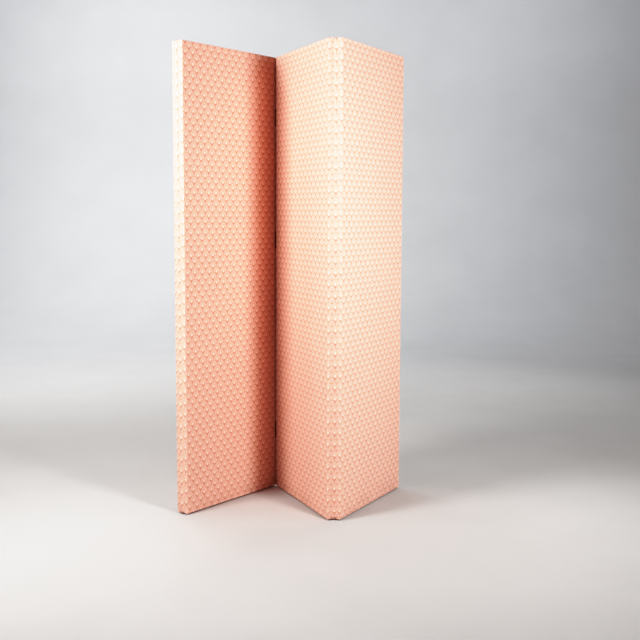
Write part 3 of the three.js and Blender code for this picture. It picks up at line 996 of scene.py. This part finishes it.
for name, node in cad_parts.items():
    if node.hide_render:
        continue
    look = pine if ("_stile_" in name or "_rail_" in name) else hardboard
    node.data.materials.clear()
    node.data.materials.append(look)

# ---------------------------------------------------------------- floor and backdrop
def backdrop():
    m, k, p = material("studio_paper")
    coords = k.node("ShaderNodeTexCoord").outputs["Object"]
    n = k.noise(coords, 3.0, 3.0, 0.5)
    k.put(p.inputs["Base Color"], k.mix(n, srgb(178, 176, 174), srgb(186, 184, 182)))
    p.inputs["Roughness"].default_value = 0.75
    p.inputs["Specular IOR Level"].default_value = 0.2
    k.put(p.inputs["Normal"], k.bump(k.noise(coords, 60.0, 2.0), 0.1, 0.0005))
    profile = [(-9.0, 0.0), (-4.0, 0.0), (0.0, 0.0), (3.6, 0.0)]
    radius, start = 2.2, 4.4
    for i in range(0, 17):
        g = math.pi / 2 * i / 16
        profile.append((start + radius * math.sin(g), radius * (1 - math.cos(g))))
    profile.append((start + radius, 7.0))
    verts, faces = [], []
    for y, z in profile:
        verts += [(-9.0, y, z), (9.0, y, z)]
    for i in range(len(profile) - 1):
        faces.append([2 * i, 2 * i + 1, 2 * i + 3, 2 * i + 2])
    o = make_mesh("studio_floor", verts, faces, [m])
    return o


backdrop()


def area_light(name, location, target, size, power, spread=140.0, colour=(1.0, 1.0, 1.0)):
    data = bpy.data.lights.new(name, "AREA")
    data.shape = "RECTANGLE"
    data.size, data.size_y = size
    data.energy = power
    data.color = colour
    data.spread = math.radians(spread)
    o = bpy.data.objects.new(name, data)
    bpy.context.scene.collection.objects.link(o)
    d = Vector(target) - Vector(location)
    o.rotation_mode = "QUATERNION"
    o.rotation_quaternion = d.to_track_quat("-Z", "Y")
    o.location = location
    o.visible_camera = False
    return o


def polar(angle, distance, height):
    """A point at that many degrees to the right of the camera's side of the object."""
    g = math.radians(angle)
    return (0.0 + distance * math.sin(g), 0.2 - distance * math.cos(g), height)


LIGHTS = {
    "left_softbox": (polar(-45.5, 1.95, 1.98), (0.0, 0.0, 1.15), (0.6, 0.8), 35.0),
    "left_far": (polar(-40.0, 3.0, 1.9), (0.0, 0.0, 1.1), (0.6, 0.9), 4.5),
    "left_side": (polar(-75.0, 1.95, 1.2), (0.0, 0.0, 0.9), (0.5, 0.9), 6.5),
    "left_low": (polar(-52.0, 1.95, 0.8), (0.0, 0.0, 0.9), (0.5, 0.6), 3.2),
    "right_softbox": (polar(36.0, 3.0, 1.6), (0.0, 0.0, 1.05), (0.45, 0.9), 34.0),
    "right_near": (polar(32.8, 1.95, 1.45), (0.0, 0.0, 1.05), (0.5, 0.7), 13.5),
    "right_low": (polar(75.0, 1.9, 0.8), (0.0, 0.0, 0.9), (0.5, 0.6), 6.8),
    "wall_left": ((-2.2, 3.0, 4.2), (-1.7, 6.4, 1.0), (2.2, 1.2), 156.0),
    "wall_right": ((2.0, 3.0, 4.4), (1.6, 6.4, 2.2), (2.2, 1.2), 90.0),
    "cove_left": ((-2.8, 2.4, 2.8), (-2.9, 4.7, 0.0), (1.6, 0.8), 20.0),
    "floor_back": ((-0.9, 3.6, 4.6), (-1.1, 3.5, 0.0), (4.0, 2.0), 41.0),
    "back_left": (polar(-140.0, 3.6, 2.4), (0.0, 0.0, 0.9), (1.4, 1.4), 26.0),
    "back_right": (polar(142.0, 3.6, 2.4), (0.0, 0.0, 0.9), (1.4, 1.4), 26.0),
}
COOL = (0.90, 0.94, 1.0)
for key, (where, target, size, power) in LIGHTS.items():
    area_light(key, where, target, size, power, colour=COOL if key.startswith(("wall", "cove")) else (1.0, 1.0, 1.0))
area_light("floor_mid", (-2.0, 1.7, 3.6), (-1.8, 1.6, 0.0), (1.6, 1.0), 14.0, spread=80.0)
area_light("floor_right", (1.9, 1.7, 3.6), (1.9, 1.6, 0.0), (1.6, 1.0), 4.0, spread=80.0)
area_light("floor_left", (-1.3, -1.6, 3.0), (-1.2, -1.3, 0.0), (0.8, 0.8), 7.0, spread=60.0)

world = bpy.data.worlds.new("studio")
bpy.context.scene.world = world
world.use_nodes = True
world.node_tree.nodes["Background"].inputs[0].default_value = (0.93, 0.96, 1.0, 1.0)
world.node_tree.nodes["Background"].inputs[1].default_value = 0.01

bpy.context.scene.view_settings.view_transform = "Standard"
bpy.context.scene.view_settings.look = "None"
bpy.context.scene.view_settings.gamma = 0.8
# a soft shoulder, so that the brightest cloth keeps its tone
bpy.context.scene.view_settings.use_curve_mapping = True
mapping = bpy.context.scene.view_settings.curve_mapping
mapping.white_level = (1.6, 1.6, 1.6)
mapping.extend = "HORIZONTAL"
shoulder = mapping.curves[3].points
shoulder[0].location = (0.0, 0.0)
shoulder[1].location = (1.0, 0.985)
for at, value in ((0.25, 0.40), (0.50, 0.80), (0.60, 0.895), (0.78, 0.955)):
    shoulder.new(at, value)
# and a toe in green and blue, so that the shade between the panels stays red, as it does in a photograph
for channel, toe in ((1, ((0.088, 0.058), (0.125, 0.097), (0.196, 0.190), (0.27, 0.27), (0.5, 0.5))),
                     (2, ((0.060, 0.034), (0.095, 0.066), (0.138, 0.121), (0.22, 0.219), (0.5, 0.5)))):
    for at, value in toe:
        mapping.curves[channel].points.new(at, value)
mapping.update()
